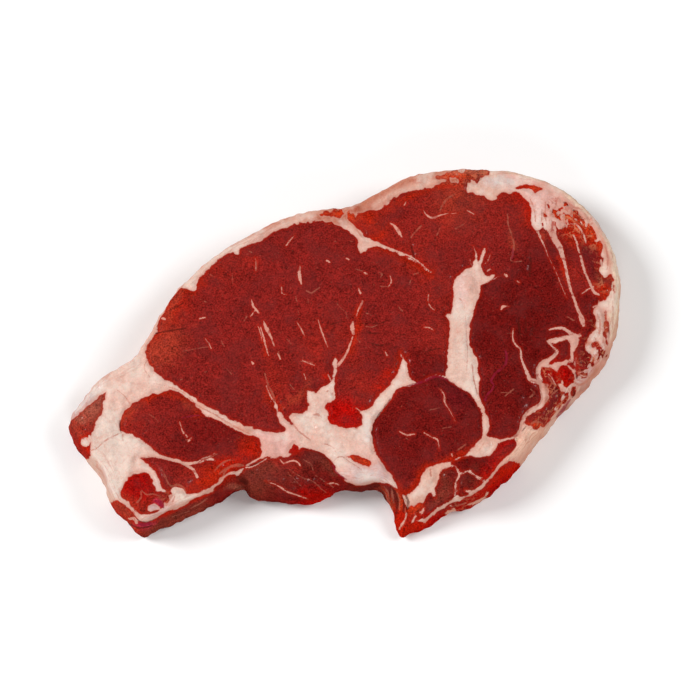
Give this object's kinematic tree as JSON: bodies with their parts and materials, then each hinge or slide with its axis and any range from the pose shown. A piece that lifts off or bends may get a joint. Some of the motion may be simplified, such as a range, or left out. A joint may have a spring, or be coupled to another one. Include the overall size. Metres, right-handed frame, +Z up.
{
  "type": "raw ribeye steak",
  "caption": "Raw boneless beef steak, one thick slice lying flat: a large eye muscle, a cap muscle, seams and rims of pale fat.",
  "frame": {"origin": "middle of the slice's box at the flat underside", "axes": "+X along the slice's length, +Y across it, +Z up through the cut face"},
  "size_m": [0.2216, 0.1526, 0.022],
  "materials": {
    "raw_beef": "moist cut meat, dark red lean with pale pink fat"
  },
  "bodies": {
    "root": {"steak": "raw_beef"}
  },
  "joints": []
}
